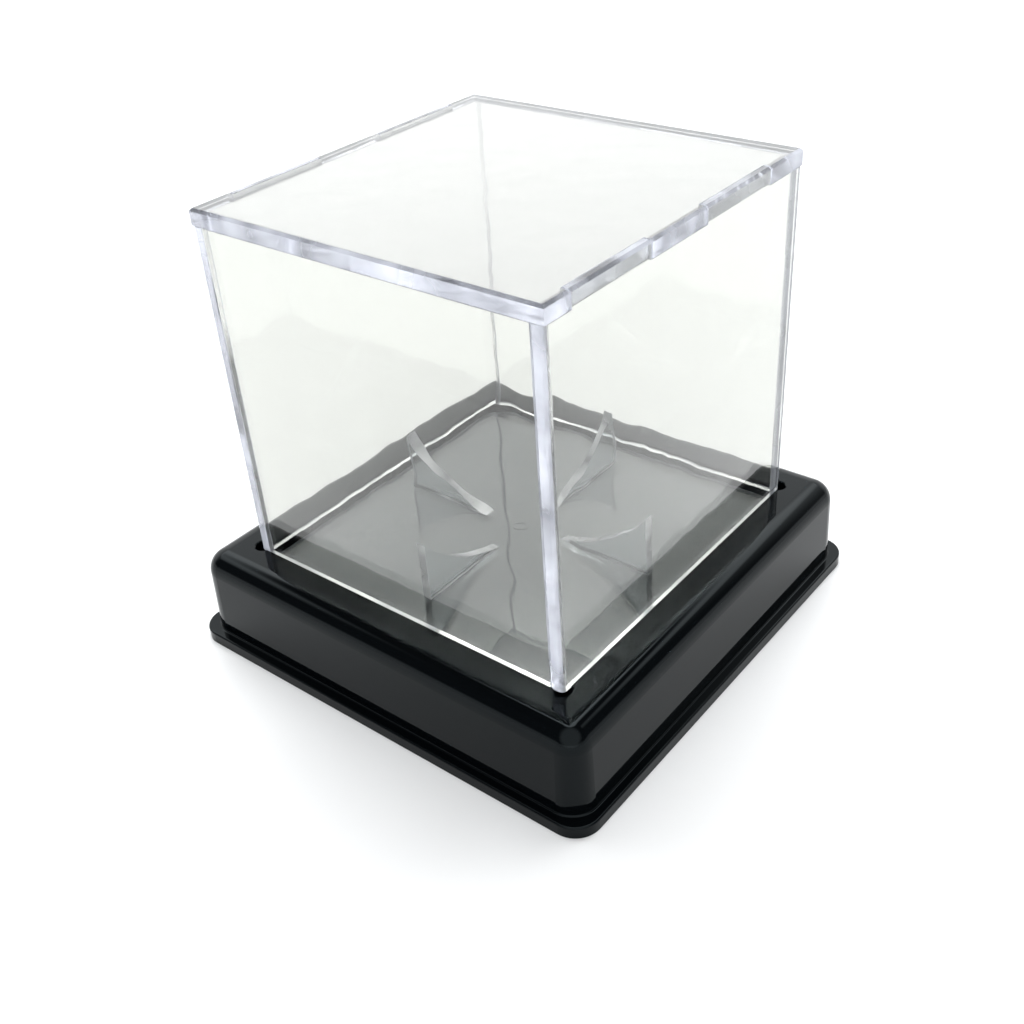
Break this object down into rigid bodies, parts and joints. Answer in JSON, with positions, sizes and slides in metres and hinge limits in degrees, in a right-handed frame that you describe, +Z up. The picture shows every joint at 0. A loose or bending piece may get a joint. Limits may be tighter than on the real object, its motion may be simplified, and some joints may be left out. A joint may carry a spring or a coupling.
{
  "type": "display case",
  "caption": "Clear square display case for a small ball: lift-off clear cover over a glossy black flanged base, with a finned clear cradle for the ball.",
  "frame": {"origin": "centre of the underside of the base, on the surface the case rests on", "axes": "+Z up, front panel faces -Y, the two tabbed panels face -X and +X"},
  "size_m": [0.08, 0.08, 0.074],
  "materials": {
    "base_black": "high gloss black moulding",
    "cradle_clear": "polished clear moulding",
    "cover_clear": "polished clear plastic sheet"
  },
  "bodies": {
    "base": {"base_shell": "base_black"},
    "cradle": {"ball_cradle": "cradle_clear"},
    "cover": {"panel_front": "cover_clear", "panel_back": "cover_clear", "panel_left": "cover_clear", "panel_right": "cover_clear", "top_panel": "cover_clear"}
  },
  "joints": [
    {"name": "cover_lift", "type": "slide", "parent": "base", "child": "cover", "axis": [0, 0, 1], "range_m": [0, 0.08]},
    {"name": "cradle_lift", "type": "slide", "parent": "base", "child": "cradle", "axis": [0, 0, 1], "range_m": [0, 0.04]}
  ]
}
